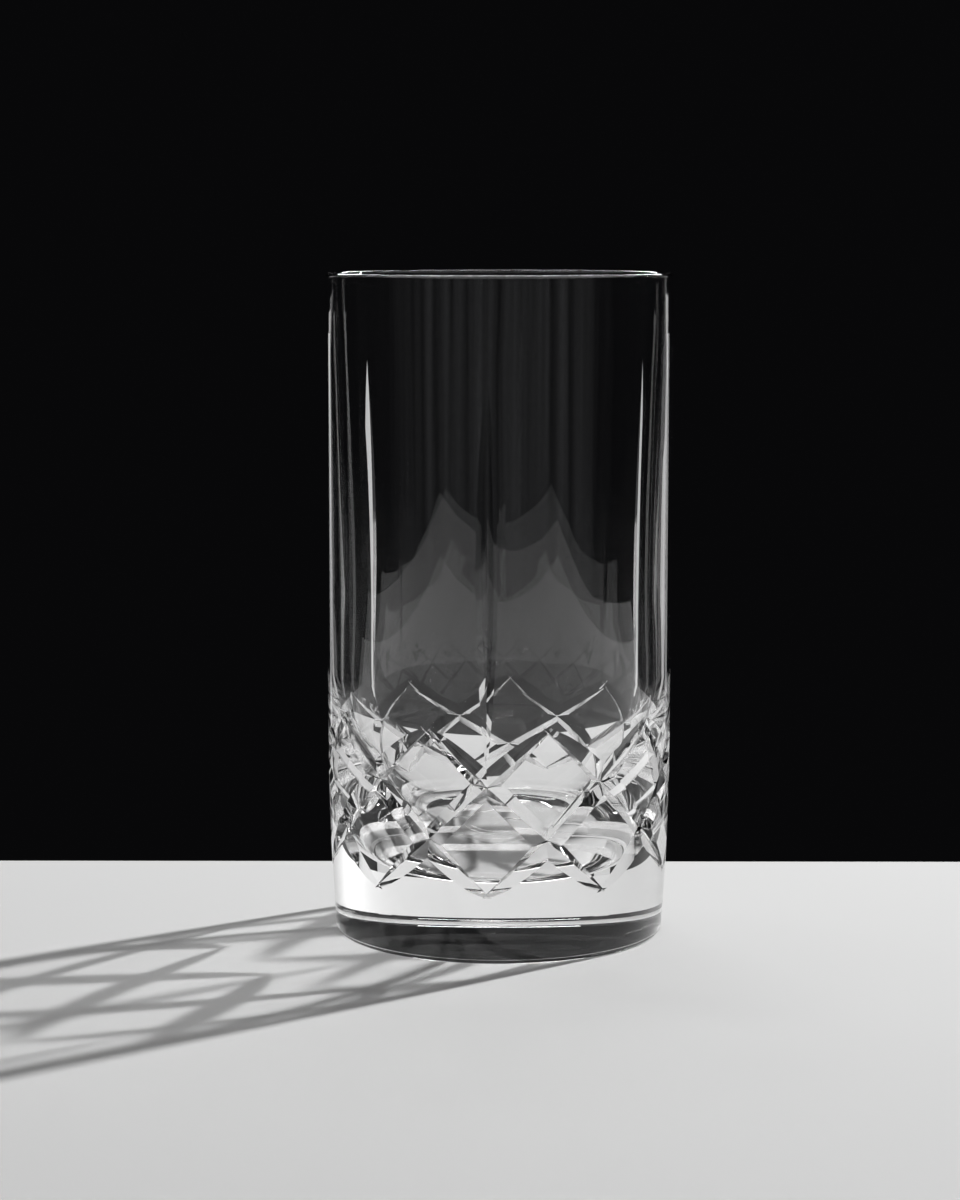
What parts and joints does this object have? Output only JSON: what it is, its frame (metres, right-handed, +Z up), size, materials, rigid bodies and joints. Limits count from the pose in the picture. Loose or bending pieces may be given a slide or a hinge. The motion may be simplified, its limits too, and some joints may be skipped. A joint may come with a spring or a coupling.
{
  "type": "highball glass",
  "caption": "Tall cut crystal drinking glass: thick solid foot, mitre-cut diamond lattice around the lower bowl, long upright flutes and a fire-polished lip.",
  "frame": {"origin": "centre of the foot, on the surface that the glass stands on", "axes": "+Z up the glass through the middle of its mouth, -Y through the middle of one flute, +X to the right seen from that flute"},
  "size_m": [0.0754, 0.0754, 0.145],
  "materials": {
    "polished_crystal": "clear, fire-polished",
    "cut_crystal": "clear, acid-polished mitre cuts"
  },
  "bodies": {
    "root": {"foot": "polished_crystal", "cut_bowl": "cut_crystal", "fluted_wall": "polished_crystal", "lip": "polished_crystal"}
  },
  "joints": []
}
